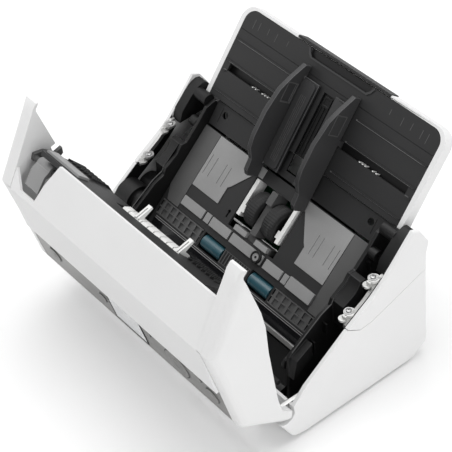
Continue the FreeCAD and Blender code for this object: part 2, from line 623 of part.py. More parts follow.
def make_cover_shell():
    inner = [(42, 154.0), (4.4, 119.6), (-24.6, 86.8), (-24.7, 42)]
    shell = Piece("cover_shell", COVER)
    band = COVER_FRONT + inner
    shell.outline("x", band, ("-cheek_inner + 0.2", "cheek_inner - 0.2"))
    top = [(45.5, 157), (93.8, 157.6), (93.8, 154.8), (42, 154)]
    shell.outline("x", top, ("-horn_inner + 0.2", "horn_inner - 0.2"))
    slope = math.radians(DIMENSIONS["panel_angle"])
    run = DIMENSIONS["panel_length"]
    foot = (DIMENSIONS["panel_y"], DIMENSIONS["panel_z"])
    head = (foot[0] + run * math.cos(slope), foot[1] + run * math.sin(slope))
    deep = 4.2
    drop = (deep * math.sin(slope), -deep * math.cos(slope))
    window = [(foot[0] - 2, foot[1] + 2), (head[0] - 2, head[1] + 2), (head[0] + drop[0], head[1] + drop[1])]
    window += [(foot[0] + drop[0], foot[1] + drop[1])]
    shell.outline("x", window, (-136, 136), cut=True)
    lever_well = [(-140, 100), (-76, 100), (-90, 70), (-96, 50), (-116, 50), (-124, 60), (-140, 78)]
    shell.outline("z", lever_well, (140, 170), cut=True)
    for side, sign in SIDES.items():
        cheek = Piece(f"cover_cheek_{side}", COVER)
        outer = COVER_FRONT + HORN_TIP + COVER_SEAM[1:] + COVER_LUG
        cheek.outline("x", outer, sided(sign, "cheek_inner", "half_width"))
        wide = sign * DIMENSIONS["half_width"]
        cheek.soften(8, lambda p, d: abs(p.x - wide) < 0.1 and on_cover_front(p))
        horn = [(46, 157.2)] + HORN_TIP + [(89, 123), (84, 128)]
        cheek.outline("x", horn, sided(sign, "horn_inner", "cheek_inner + 0.5"))
        hollow = [(-25, 46), (-24.4, 84), (8, 114.5), (47, 153.6), (109, 156.0), (130, 152), (118, 136), (80, 100), (0, 45)]
        cheek.outline("x", hollow, sided(sign, "horn_inner + 2.6", "half_width - 3.6"), cut=True)
        # inside its outer plate the cheek stays clear of the fixed hinge arm
        cheek.box(sided(sign, 134, 141), (-31, -8), (25, 46.4), cut=True)
        cheek.rod("x", ("hinge_y", "hinge_z"), 6.6, sided(sign, 141, "half_width - 3"))
        cheek.rod("x", ("hinge_y", "hinge_z"), "pin_radius + 0.06", sided(sign, 140, 146.7), cut=True)


def on_cover_front(point):
    """Whether a point of the shut cover lies on its front outline, at the middle of an edge."""
    outline = COVER_FRONT + HORN_TIP[:1]
    middles = [((a[0] + b[0]) / 2, (a[1] + b[1]) / 2) for a, b in zip(outline, outline[1:])]
    return any(math.hypot(point.y - a, point.z - b) < 1.0 for a, b in middles)


def make_cover_inside():
    frame = Piece("cover_inner_frame", COVER)
    band = [(93.6, 154.6), (86, 128), (78, 106), (66, 92), (26, 54), (12, 48.5)]
    band += [(9, 51.5), (23, 58.5), (62, 97), (73, 110.5), (80, 130), (88.6, 154)]
    frame.outline("x", band, ("-inner_frame_half", "inner_frame_half"))
    frame.box((-27, 27), (40, 88), (60, 132), cut=True)
    frame.box((-29, 54), (68, 92), (105, 131), cut=True)
    frame.box((-105, 105), (20, 44), (40, 78), cut=True)
    glass = Piece("upper_glass", COVER_PATH)
    glass.box((-104.6, 104.6), (-56, -47), ("5", "12"))
    fingers = Piece("guide_fingers", COVER)
    lobe = [(76.5, 111), (80.5, 110), (84, 116), (84.5, 123.5), (80.5, 127.5), (77.5, 122)]
    for x in (-26, -17.5, -9, -0.5, 8, 16.5, 25, 33.5, 42):
        fingers.outline("x", lobe, (x, x + 7.2))
    fingers.box((-26, 49), (78.4, 81.6), (113, 122))
    # each tab is two prongs that meet at the tip
    tab = [(83, 120), (85, 125.5), (95.8, 114.4), (94.2, 112.8)]
    tip = [(92, 114.4), (93.6, 116.7), (95.8, 114.4), (94.2, 112.8)]
    for x in (-9, 46):
        fingers.outline("x", tab, (x, x + 1.7))
        fingers.outline("x", tab, (x + 2.9, x + 4.6))
        fingers.outline("x", tip, (x + 1.6, x + 3))
    sector = Piece("separation_roller", COVER_PATH)
    sector.rod("x", ("feed_u + 3", "12"), 9, (-24, 24))
    sector.rod("x", ("feed_u + 3", "12"), 2.5, (-34, 34))


def make_latch():
    shaft = Piece("latch_shaft", COVER)
    shaft.rod("x", ("latch_y", "latch_z"), 2.5, (-129.3, 129.3))
    hook = [(74, 145), (80.5, 146), (84, 136), (82, 123), (87.5, 118), (82, 114.5), (77, 117), (76, 130)]
    for sign in SIDES.values():
        shaft.outline("x", hook, sided(sign, 125.6, 129.2))
    lever = Piece("release_lever", COVER)
    lever.outline("x", [(78, 140), (80, 146), (72, 151.4), (56, 153.2), (56, 150.6), (70, 148.6), (74, 141)], (-118, -99))
    lever.rod("x", ("latch_y", "latch_z"), 5, (-118, -99))
    lever.rod("x", ("latch_y", "latch_z"), 2.5, (-119, -98), cut=True)


BUTTONS = {
    "power_button": ((-105.9, 23.5), 7.2),
    "menu_button": ((-34.4, 22.0), 4.6),
    "select_button": ((34.0, 34.0), 4.6),
    "start_button": ((117.0, 21.5), 7.6),
    "stop_button": ((101.0, 33.0), 5.0),
}


def make_control_panel():
    panel = Piece("control_panel", PANEL)
    panel.box(("-panel_half", "panel_half"), (0.3, "panel_length - 0.3"), ("-3.6", "-0.3"))
    for (x, v), radius in BUTTONS.values():
        panel.rod("z", (x, v), radius + 0.4, ("-2.8", "1"), cut=True)
    panel.rod("z", (70, 22), 15.4, ("-2.8", "1"), cut=True)
    panel.box((-22.6, 22.6), (4.8, 39.8), ("-1.6", "1"), cut=True)
    glass = Piece("lcd_glass", PANEL)
    glass.box((-22.2, 22.2), (5.2, 39.4), ("-1.6", "0"))
    for name, ((x, v), radius) in BUTTONS.items():
        button = Piece(name, PANEL)
        button.rod("z", (x, v), radius, ("button_travel - 2.8 + 0.2", "0.7"))
        button.soften(0.5, lambda p, d: p.z > 0.6)
    pad = Piece("navigation_pad", PANEL)
    pad.rod("z", (70, 22), 15, ("button_travel - 2.8 + 0.2", "0.5"))
    pad.soften(0.4, lambda p, d: p.z > 0.4)


for make in (
    make_base_pan, make_side_panels, make_rear_cover, make_front_fascia, make_inner_walls,
    make_tray_sockets, make_latch_plates, make_feet, make_electrics, make_hinge_lugs,
    make_exit_path, make_output_tray, make_path_floor, make_plates, make_pickup, make_feed,
    make_rib_grids, make_scan_unit, make_tray, make_tray_extension, make_edge_guides,
    make_channel, make_cover_shell, make_cover_inside, make_latch, make_control_panel,
):
    make()

if doc.getObject("Gauge"):
    doc.removeObject("Gauge")
doc.recompute()

for item in doc.Objects:
    if "Invalid" in item.State or "Error" in item.State:
        raise RuntimeError(f"{item.Label} failed: {item.State}")
os.makedirs("parts", exist_ok=True)
for body in PIECES:
    shape = body.Shape
    if shape.isNull() or not shape.isValid():
        raise RuntimeError(f"{body.Label} has no valid shape")
    shape.exportStep(f"parts/{body.Label}.step")
box = FreeCAD.BoundBox()
for body in PIECES:
    box.add(body.Shape.BoundBox)
print(len(PIECES), "pieces", box)
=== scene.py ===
"""Looks of a sheet fed document scanner with its front cover swung open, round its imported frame."""

import json
import logging
import math
from dataclasses import dataclass, field
from enum import Enum
from typing import Callable, Sequence, Union

import bmesh
import bpy
from mathutils import Matrix, Vector

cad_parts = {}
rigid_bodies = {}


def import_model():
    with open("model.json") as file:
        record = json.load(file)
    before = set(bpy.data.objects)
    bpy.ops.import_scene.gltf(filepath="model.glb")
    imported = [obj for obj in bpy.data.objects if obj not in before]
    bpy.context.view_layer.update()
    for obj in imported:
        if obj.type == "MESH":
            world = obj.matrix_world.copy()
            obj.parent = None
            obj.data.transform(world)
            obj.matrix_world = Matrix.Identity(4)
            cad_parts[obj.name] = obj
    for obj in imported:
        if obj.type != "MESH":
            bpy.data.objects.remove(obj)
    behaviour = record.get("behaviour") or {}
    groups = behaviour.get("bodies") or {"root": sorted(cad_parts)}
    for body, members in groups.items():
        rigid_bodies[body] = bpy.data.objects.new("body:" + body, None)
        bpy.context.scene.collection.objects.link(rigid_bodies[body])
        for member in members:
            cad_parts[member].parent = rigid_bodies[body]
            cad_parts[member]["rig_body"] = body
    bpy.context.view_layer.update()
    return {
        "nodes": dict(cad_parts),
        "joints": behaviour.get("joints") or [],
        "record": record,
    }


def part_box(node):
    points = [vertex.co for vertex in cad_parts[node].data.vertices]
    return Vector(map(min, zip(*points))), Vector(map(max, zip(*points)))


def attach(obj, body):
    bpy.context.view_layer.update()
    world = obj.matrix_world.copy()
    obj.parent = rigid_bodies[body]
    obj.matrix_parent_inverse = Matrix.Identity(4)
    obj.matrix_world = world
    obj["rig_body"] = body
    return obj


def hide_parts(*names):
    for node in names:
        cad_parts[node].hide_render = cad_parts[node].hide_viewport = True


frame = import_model()
MM = 0.001
SIDES = {"left": -1.0, "right": 1.0}

Colour = tuple[float, float, float]
Flat = Sequence[tuple[float, float]]
Number = Union[float, "Wire"]
log = logging.getLogger("scanner")


# ---------------------------------------------------------------- shader maths


class Wire:
    """A node's output that takes part in arithmetic: each operation adds a Math node."""

    def __init__(self, recipe: "Recipe", socket: bpy.types.NodeSocket) -> None:
        """Keep the recipe that the socket belongs to, and the socket."""
        self.recipe = recipe
        self.socket = socket

    def _math(self, operation: str, first: Number, second: Number) -> "Wire":
        """Add one Math node.

        Args:
            operation: the Math node's operation.
            first: its first value or link.
            second: its second value or link.

        Returns:
            The node's output.
        """
        return self.recipe.node("ShaderNodeMath", {"operation": operation}, {0: first, 1: second})

    def __add__(self, other: Number) -> "Wire":
        """This plus other."""
        return self._math("ADD", self, other)

    def __radd__(self, other: Number) -> "Wire":
        """Other plus this."""
        return self._math("ADD", other, self)

    def __sub__(self, other: Number) -> "Wire":
        """This less other."""
        return self._math("SUBTRACT", self, other)

    def __rsub__(self, other: Number) -> "Wire":
        """Other less this."""
        return self._math("SUBTRACT", other, self)

    def __mul__(self, other: Number) -> "Wire":
        """This times other."""
        return self._math("MULTIPLY", self, other)

    def __rmul__(self, other: Number) -> "Wire":
        """Other times this."""
        return self._math("MULTIPLY", other, self)

    def __pow__(self, other: Number) -> "Wire":
        """This to the power of other."""
        return self._math("POWER", self, other)

    def __gt__(self, other: Number) -> "Wire":
        """1 where this is over other, else 0."""
        return self._math("GREATER_THAN", self, other)


class Recipe:
    """A material's nodes, written as expressions."""

    def __init__(self, name: str) -> None:
        """Start an empty node material of this name."""
        self.material = bpy.data.materials.new(name)
        self.material.use_nodes = True
        self.tree = self.material.node_tree
        self.tree.nodes.clear()
        self.place = self.node("ShaderNodeTexCoord", output="Object")

    def node(self, kind: str, settings: dict | None = None, values: dict | None = None,
             output: int | str = 0) -> Wire:
        """Add a node.

        Args:
            kind: the node's type.
            settings: what is set on the node first.
            values: values or links of its sockets, by index or name.
            output: which output is returned.

        Returns:
            That output.
        """
        made = self.tree.nodes.new(kind)
        for key, value in (settings or {}).items():
            setattr(made, key, value)
        for key, value in (values or {}).items():
            if isinstance(value, Wire):
                self.tree.links.new(value.socket, made.inputs[key])
            else:
                made.inputs[key].default_value = value
        return Wire(self, made.outputs[output])

    def stretched(self, x: float, y: float, z: float) -> Wire:
        """The place on the piece, scaled along each axis."""
        return self.node("ShaderNodeVectorMath", {"operation": "MULTIPLY"}, {0: self.place, 1: (x, y, z)})

    def noise(self, size: float, detail: float = 2.0, place: Wire | None = None) -> Wire:
        """Cloudy noise from 0 to 1.

        Args:
            size: the size of a cloud, in metres.
            detail: how many finer layers it has.
            place: where it is read, or None for the place on the piece.

        Returns:
            The noise.
        """
        values = {"Vector": place or self.place, "Scale": 1.0 / size, "Detail": detail}
        return self.node("ShaderNodeTexNoise", {}, values)

    def span(self, value: Wire, low: float, high: float) -> Wire:
        """Value from low to high, brought to 0 to 1 and clamped."""
        return self.node("ShaderNodeMapRange", {}, {"Value": value, "From Min": low, "From Max": high})

    def blend(self, share: Number, low: Colour | Wire, high: Colour | Wire) -> Wire:
        """The colour between two colours.

        Args:
            share: 0 for the first colour, 1 for the second.
            low: the first colour.
            high: the second colour.

        Returns:
            The blended colour.
        """
        ends = [end if isinstance(end, Wire) else (*end, 1.0) for end in (low, high)]
        return self.node("ShaderNodeMix", {"data_type": "RGBA"}, {0: share, 6: ends[0], 7: ends[1]}, output=2)

    def edge_wear_and_highlight(self) -> Wire:
        """1 on the rounded edges of a piece: where hands and sheets wear them, and where a highlight is
        painted.
        """
        return self.node("ShaderNodeAttribute", {"attribute_name": "edge_wear_and_highlight"}, output="Fac")

    def bump(self, height: Wire, depth: float, strength: float = 1.0) -> Wire:
        """The surface normal over a relief.

        Args:
            height: the relief from 0 to 1.
            depth: how deep it is, in metres.
            strength: how much of it shows.

        Returns:
            The normal.
        """
        return self.node("ShaderNodeBump", {}, {"Height": height, "Distance": depth, "Strength": strength})

    def surface(self, colour: Wire, roughness: Number, normal: Wire, **fixed: float) -> bpy.types.Material:
        """End the recipe with a Principled shader.

        Args:
            colour: the base colour.
            roughness: the roughness.
            normal: the normal.
            fixed: other sockets, each the same all over, with _ for a space in its name.

        Returns:
            The material.
        """
        values = {"Base Color": colour, "Roughness": roughness, "Normal": normal}
        values.update({key.replace("_", " "): value for key, value in fixed.items()})
        shader = self.node("ShaderNodeBsdfPrincipled", {}, values)
        self.node_output(shader)
        return self.material

    def node_output(self, shader: Wire) -> None:
        """Link a shader to the material's output."""
        out = self.tree.nodes.new("ShaderNodeOutputMaterial")
        self.tree.links.new(shader.socket, out.inputs["Surface"])


def scaled(colour: Colour, factor: float) -> Colour:
    """A colour made lighter or darker, at most white."""
    return tuple(min(1.0, part * factor) for part in colour)


# ---------------------------------------------------------------- finishes


@dataclass(frozen=True)
class Moulded:
    """Injection moulded plastic: spark-eroded grain, flow marks, edges made paler partly as wear and partly
    as painted highlight, and a little dust.
    """

    colour: Colour
    roughness: float = 0.48
    grain: float = 0.0006
    relief: float = 0.00004
    mottle: float = 0.05
    wear_and_highlight: float = 1.25
    coat: float = 0.0
    gloss: float = 0.32

    def material(self, name: str) -> bpy.types.Material:
        """The finish as a material of this name."""
        made = Recipe(name)
        grain = made.noise(self.grain, 1.0)
        cloud = made.noise(0.045, 3.0)
        flow = made.noise(0.02, 2.0, made.stretched(0.35, 1.0, 1.0))
        dust = made.span(made.noise(0.0022, 3.0), 0.62, 0.78)
        edge = made.edge_wear_and_highlight()
        patch = made.span(cloud * 0.7 + flow * 0.3, 0.3, 0.7)
        body = made.blend(patch, scaled(self.colour, 1 - self.mottle), scaled(self.colour, 1 + self.mottle))
        # Rounded edges made paler: partly wear, partly painted highlight, strongest on the dark plastics.
        worn_and_lit = made.blend(edge * 0.6, body, scaled(self.colour, self.wear_and_highlight))
        dusty = made.blend(dust * 0.10, worn_and_lit, scaled(self.colour, 0.6 + 0.6 * self.wear_and_highlight))
        roughness = self.roughness + (patch - 0.5) * 0.10 - edge * 0.10 + dust * 0.08
        normal = made.bump(grain + cloud * 0.2, self.relief, 0.7)
        return made.surface(dusty, roughness, normal, Coat_Weight=self.coat, Coat_Roughness=0.25,
                            Specular_IOR_Level=self.gloss)


@dataclass(frozen=True)
class Plated:
    """Plated or ground steel: drawn scratches, a cloudy sheen and duller spots."""

    colour: Colour
    roughness: float = 0.34
    draw: tuple[float, float, float] = (0.08, 1.0, 1.0)
    spots: float = 0.3

    def material(self, name: str) -> bpy.types.Material:
        """The finish as a material of this name."""
        made = Recipe(name)
        scratch = made.noise(0.0007, 3.0, made.stretched(*self.draw))
        cloud = made.noise(0.012, 3.0)
        spot = made.span(made.noise(0.003, 2.0), 0.55, 0.75) * self.spots
        tone = made.blend(cloud, scaled(self.colour, 0.88), scaled(self.colour, 1.1))
        colour = made.blend(spot, tone, scaled(self.colour, 0.62))
        roughness = self.roughness + (scratch - 0.5) * 0.2 + spot * 0.3
        normal = made.bump(scratch, 0.00002, 0.5)
        return made.surface(colour, roughness, normal, Metallic=0.92)


@dataclass(frozen=True)
class Rubber:
    """Roller or foot rubber: a ground, powdery surface, paler where sheets have run."""

    colour: Colour
    roughness: float = 0.78
    polish: float = 0.0
    dust: Colour = (0.32, 0.32, 0.31)

    def material(self, name: str) -> bpy.types.Material:
        """The finish as a material of this name."""
        made = Recipe(name)
        ground = made.noise(0.0005, 2.0, made.stretched(1.0, 0.5, 0.5))
        band = made.noise(0.006, 2.0, made.stretched(1.0, 0.15, 0.15))
        chalk = made.span(band, 0.52, 0.8) * (0.16 * (1.0 - self.polish))
        tone = made.blend(ground, scaled(self.colour, 0.85), scaled(self.colour, 1.2))
        colour = made.blend(chalk, tone, self.dust)
        roughness = self.roughness + (ground - 0.5) * 0.12
        normal = made.bump(ground, 0.00003, 0.6)
        return made.surface(colour, roughness, normal, Coat_Weight=self.polish, Coat_Roughness=0.18)


@dataclass(frozen=True)
class Glass:
    """A dark or pale glass face: polished, faintly uneven, with a trace of dust and finger grease."""

    colour: Colour

    def material(self, name: str) -> bpy.types.Material:
        """The finish as a material of this name."""
        made = Recipe(name)
        smear = made.span(made.noise(0.011, 3.0, made.stretched(0.6, 1.0, 1.0)), 0.45, 0.75)
        speck = made.span(made.noise(0.0014, 1.0), 0.66, 0.74)
        colour = made.blend(smear * 0.15 + speck * 0.12, self.colour, scaled(self.colour, 1.6))
        roughness = 0.07 + smear * 0.16 + speck * 0.2
        normal = made.bump(made.noise(0.02, 1.0), 0.00005, 0.15)
        return made.surface(colour, roughness, normal, Coat_Weight=0.6, Coat_Roughness=0.04)


@dataclass(frozen=True)
class SolderMask:
    """A circuit board's green mask over copper tracks."""

    colour: Colour = (0.015, 0.13, 0.055)

    def material(self, name: str) -> bpy.types.Material:
        """The finish as a material of this name."""
        made = Recipe(name)
        cells = made.node("ShaderNodeTexVoronoi", {"distance": "MANHATTAN", "feature": "F2"},
                          {"Vector": made.place, "Scale": 260.0})
        track = made.span(cells, 0.55, 0.6)
        weave = made.noise(0.0011, 2.0)
        tone = made.blend(weave, scaled(self.colour, 0.85), scaled(self.colour, 1.15))
        colour = made.blend(track * 0.5, tone, (0.05, 0.26, 0.10))
        normal = made.bump(track + weave * 0.3, 0.00004, 0.8)
        return made.surface(colour, 0.34 + weave * 0.12, normal, Coat_Weight=0.3, Coat_Roughness=0.2)


# The sixth number of each moulded finish makes its rounded edges paler: partly wear, partly painted
# highlight.
FINISHES = {
    "white_casing": Moulded((0.74, 0.74, 0.74), 0.50, 0.0007, 0.00003, 0.012, 1.06),
    "black_chassis": Moulded((0.006, 0.006, 0.0062), 0.46, 0.0006, 0.00005, 0.12, 4.5),
    "charcoal_plastic": Moulded((0.021, 0.021, 0.0215), 0.52, 0.0005, 0.00006, 0.10, 2.2),
    "guide_plastic": Moulded((0.040, 0.040, 0.041), 0.40, 0.0008, 0.00004, 0.07, 3.4),
    "light_grey_plastic": Moulded((0.27, 0.27, 0.27), 0.44, 0.0007, 0.00003, 0.10, 1.3),
    "mid_grey_plastic": Moulded((0.085, 0.085, 0.085), 0.46, 0.0007, 0.00003, 0.12, 1.8),
    "white_acetal": Moulded((0.78, 0.78, 0.77), 0.33, 0.0009, 0.00002, 0.02, 1.05, 0.15),
    "zinc_plate": Plated((0.60, 0.60, 0.59), 0.32),
    "screw_steel": Plated((0.50, 0.50, 0.50), 0.30),
    "foot_rubber": Rubber((0.030, 0.030, 0.031)),
    "circuit_board": SolderMask(),
    "motor_can": Plated((0.42, 0.42, 0.43), 0.38),
    "roller_rubber": Rubber((0.017, 0.017, 0.0175)),
    "teal_rubber": Rubber((0.020, 0.075, 0.098), 0.36, 0.4, (0.10, 0.20, 0.23)),
    "shaft_steel": Plated((0.58, 0.58, 0.58), 0.24, (0.06, 1.0, 1.0), 0.15),
    "scan_glass": Glass((0.008, 0.008, 0.009)),
    "display_glass": Glass((0.60, 0.61, 0.62)),
    "panel_plastic": Moulded((0.12, 0.117, 0.112), 0.34, 0.0008, 0.00002, 0.05, 1.5, 0.2),
    "button_plastic": Moulded((0.16, 0.157, 0.152), 0.40, 0.0008, 0.00002, 0.05, 1.8),
}


class Finish:
    """The material of each of the record's slots, made when it is first asked for."""

    made: dict[str, bpy.types.Material] = {}

    @classmethod
    def of(cls, slot: str) -> bpy.types.Material:
        """The material of a slot."""
        if slot not in cls.made:
            cls.made[slot] = FINISHES[slot].material(slot)
        return cls.made[slot]


# ---------------------------------------------------------------- drawing planes and mesh making


@dataclass(frozen=True)
class Plane:
    """A drawing plane across the scanner: turned about X and set at (y, z) in the row frame."""

    y: float
    z: float
    angle: float

    def at(self, x: float, along: float, up: float) -> Vector:
        """The point at x, this far along the plane and this far above it, all in metres."""
        cos, sin = math.cos(self.angle), math.sin(self.angle)
        return Vector((x, self.y + along * cos - up * sin, self.z + along * sin + up * cos))

    def along(self, point: Vector) -> float:
        """How far along the plane a point lies, in millimetres."""
        return ((point.y - self.y) * math.cos(self.angle) + (point.z - self.z) * math.sin(self.angle)) / MM

    def turned(self, pivot: tuple[float, float], angle: float) -> "Plane":
        """This plane after a swing about a pivot (y, z)."""
        cos, sin = math.cos(angle), math.sin(angle)
        dy, dz = self.y - pivot[0], self.z - pivot[1]
        return Plane(pivot[0] + dy * cos - dz * sin, pivot[1] + dy * sin + dz * cos, self.angle + angle)


def joint(name: str) -> dict:
    """The record's joint of this name."""
    return next(item for item in frame["joints"] if item["name"] == name)


HINGE = joint("cover_hinge")
HINGE_AT = (HINGE["pos_m"][1], HINGE["pos_m"][2])
SWING = math.radians(HINGE["range_deg"][1])
DEPTH_SHIFT = 0.049
UPRIGHT = Plane(-DEPTH_SHIFT, 0.0, 0.0)
BACK = Plane(0.137 - DEPTH_SHIFT, 0.0255, math.radians(-90.0))
PATH = Plane(0.0720 - DEPTH_SHIFT, 0.0855, math.radians(43.6))
TRAY = Plane(0.1266 - DEPTH_SHIFT, 0.1466, math.radians(52.6))
COVER = UPRIGHT.turned(HINGE_AT, SWING)
PANEL = Plane(-0.0274 - DEPTH_SHIFT, 0.0853, math.radians(43.9)).turned(HINGE_AT, SWING)


class Mould:
    """A mesh in the making, in metres in the row frame, that becomes one named piece."""

    def __init__(self, name: str) -> None:
        """Start an empty mesh of this name."""
        self.name = name
        self.bm = bmesh.new()

    def prism(self, plane: Plane, outline: Flat, low: float, high: float) -> "Mould":
        """A closed outline in a plane, carried across X.

        Args:
            plane: the plane that the outline is drawn in.
            outline: its (along, up) points, in millimetres.
            low: where it starts in X, in millimetres.
            high: where it ends in X, in millimetres.

        Returns:
            This mould.
        """
        ends = [[self.bm.verts.new(plane.at(x * MM, u * MM, h * MM)) for u, h in outline]
                for x in (low, high)]
        count = len(outline)
        self.bm.faces.new(ends[0])
        self.bm.faces.new(list(reversed(ends[1])))
        for index in range(count):
            after = (index + 1) % count
            self.bm.faces.new((ends[0][after], ends[0][index], ends[1][index], ends[1][after]))
        return self

    def slab(self, plane: Plane, x: tuple[float, float], along: tuple[float, float],
             up: tuple[float, float]) -> "Mould":
        """A block between three pairs of limits, in millimetres."""
        outline = [(along[0], up[0]), (along[1], up[0]), (along[1], up[1]), (along[0], up[1])]
        return self.prism(plane, outline, x[0], x[1])

    def plate(self, plane: Plane, outline: Flat, low: float, high: float) -> "Mould":
        """A closed outline of (x, along) points, raised between two heights, in millimetres."""
        ends = [[self.bm.verts.new(plane.at(x * MM, u * MM, h * MM)) for x, u in outline]
                for h in (low, high)]
        count = len(outline)
        self.bm.faces.new(list(reversed(ends[0])))
        self.bm.faces.new(ends[1])
        for index in range(count):
            after = (index + 1) % count
            self.bm.faces.new((ends[0][index], ends[0][after], ends[1][after], ends[1][index]))
        return self

    def turned(self, plane: Plane, centre: tuple[float, float], profile: Flat, steps: int = 48,
               radius: Callable[[float, float], float] | None = None) -> "Mould":
        """A ring turned about X.

        Args:
            plane: the plane that the centre is given in.
            centre: the axis's (along, up), in millimetres.
            profile: the ring's closed section as (x, radius) points, in millimetres.
            steps: how many steps the turn takes.
            radius: how a radius changes with the angle, or None.

        Returns:
            This mould.
        """
        rings = []
        for step in range(steps):
            angle = math.tau * step / steps
            ring = []
            for x, reach in profile:
                own = radius(reach, angle) if radius else reach
                spot = plane.at(x * MM, (centre[0] + own * math.cos(angle)) * MM,
                                (centre[1] + own * math.sin(angle)) * MM)
                ring.append(self.bm.verts.new(spot))
            rings.append(ring)
        for step in range(steps):
            here, there = rings[step], rings[(step + 1) % steps]
            for index in range(len(profile)):
                after = (index + 1) % len(profile)
                self.bm.faces.new((here[index], here[after], there[after], there[index]))
        return self

    def ring(self, plane: Plane, x: float, along: float, section: Flat, steps: int = 40) -> "Mould":
        """A ring standing on a plane, its closed section given as (radius, up) points, in millimetres."""
        rings = []
        for step in range(steps):
            angle = math.tau * step / steps
            rings.append([self.bm.verts.new(plane.at((x + reach * math.cos(angle)) * MM,
                                                     (along + reach * math.sin(angle)) * MM, up * MM))
                          for reach, up in section])
        for step in range(steps):
            here, there = rings[step], rings[(step + 1) % steps]
            for index in range(len(section)):
                after = (index + 1) % len(section)
                self.bm.faces.new((here[index], here[after], there[after], there[index]))
        return self

    def peg(self, plane: Plane, x: float, along: float, profile: Flat, steps: int = 32,
            reach: Callable[[float, float], float] | None = None) -> "Mould":
        """A round peg standing on a plane, its profile (radius, up) from the foot to the middle of its top.

        Args:
            plane: the plane that it stands on.
            x: its place in X, in millimetres.
            along: its place along the plane, in millimetres.
            profile: (radius, up) points, in millimetres; the first and last are closed flat.
            steps: how many steps round.
            reach: how a radius changes with the angle, or None.

        Returns:
            This mould.
        """
        rings = []
        for radius, up in profile:
            ring = []
            for step in range(steps):
                angle = math.tau * step / steps
                own = reach(radius, angle) if reach else radius
                spot = plane.at((x + own * math.cos(angle)) * MM,
                                (along + own * math.sin(angle)) * MM, up * MM)
                ring.append(self.bm.verts.new(spot))
            rings.append(ring)
        for low, high in zip(rings, rings[1:]):
            for step in range(steps):
                after = (step + 1) % steps
                self.bm.faces.new((low[step], low[after], high[after], high[step]))
        self.bm.faces.new(list(reversed(rings[0])))
        self.bm.faces.new(rings[-1])
        return self

    def soften(self, width: float, angle: float = 28.0, segments: int = 2) -> "Mould":
        """Round, by a width in millimetres, the edges sharper than an angle, and mark them for the edge wear
        and painted highlight of the finish.
        """
        sharp = [edge for edge in self.bm.edges
                 if len(edge.link_faces) == 2 and edge.calc_face_angle(0.0) > math.radians(angle)]
        layer = self.bm.faces.layers.float.new("edge_wear_and_highlight")
        if sharp:
            made = bmesh.ops.bevel(self.bm, geom=sharp, offset=width * MM, offset_type="OFFSET",
                                   segments=segments, profile=0.5, affect="EDGES", clamp_overlap=True)
            for face in made["faces"]:
                face[layer] = 1.0
        return self

    def piece(self, body: str, slot: str, replaces: Sequence[str] = ()) -> bpy.types.Object:
        """Finish the mesh as a piece that rides on a body.

        Args:
            body: the body that it moves with.
            slot: the record's material slot that it takes its finish from.
            replaces: the CAD nodes that it stands for.

        Returns:
            The piece.
        """
        bmesh.ops.recalc_face_normals(self.bm, faces=self.bm.faces)
        for face in self.bm.faces:
            face.smooth = True
        mesh = bpy.data.meshes.new(self.name)
        self.bm.to_mesh(mesh)
        self.bm.free()
        mesh.set_sharp_from_angle(angle=math.radians(38.0))
        made = bpy.data.objects.new(self.name, mesh)
        bpy.context.scene.collection.objects.link(made)
        made.data.materials.append(Finish.of(slot))
        flats = made.modifiers.new("flats", "WEIGHTED_NORMAL")
        flats.keep_sharp = True
        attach(made, body)
        if replaces:
            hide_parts(*replaces)
        log.info("%s rides on %s, %d faces", self.name, body, len(mesh.polygons))
        return made


def slot_of(node: str) -> str:
    """The record's material slot of a CAD node."""
    return next(row["material_slot"] for row in frame["record"]["subparts"] if row["node"] == node)


def eased(node: str, width: float, segments: int = 2, slot: str = "") -> bpy.types.Object:
    """A CAD node's own shape with its moulded edges rounded, standing for the node.

    Args:
        node: the CAD node.
        width: how wide its edges are rounded, in millimetres.
        segments: how many facets round each edge.
        slot: the slot of its finish, or empty for the node's own.

    Returns:
        The piece.
    """
    cad = frame["nodes"][node]
    made = Mould(f"{node}_finished")
    made.bm.from_mesh(cad.data)
    bmesh.ops.remove_doubles(made.bm, verts=made.bm.verts, dist=2e-6)
    bmesh.ops.dissolve_limit(made.bm, angle_limit=math.radians(1.0), verts=made.bm.verts, edges=made.bm.edges)
    made.soften(width, 28.0, segments)
    return made.piece(cad["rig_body"], slot or slot_of(node), [node])


# ---------------------------------------------------------------- sub-assemblies


class Edge(Enum):
    """How far a moulded edge is rounded, in millimetres."""

    CRISP = 0.18
    PLAIN = 0.35
    SOFT = 0.8
    FULL = 1.4


def sided(sign: float, near: float, far: float) -> tuple[float, float]:
    """Two distances from the middle plane as limits along X, the lower one first.

    Args:
        sign: -1.0 for the left side, 1.0 for the right.
        near: the distance nearer the middle.
        far: the distance further from it.

    Returns:
        The two limits.
    """
    low, high = sorted((sign * near, sign * far))
    return low, high


@dataclass
class Assembly:
    """A group of pieces: the CAD nodes that keep their shape, and their edges."""

    edges: dict[str, Edge] = field(default_factory=dict)

    def dress(self) -> None:
        """Round the edges of this group's CAD nodes."""
        for node, edge in self.edges.items():
            eased(node, edge.value)

    def build(self) -> None:
        """Make the group's own pieces."""

    def make(self) -> None:
        """Make and dress the whole group."""
        self.dress()
        self.build()


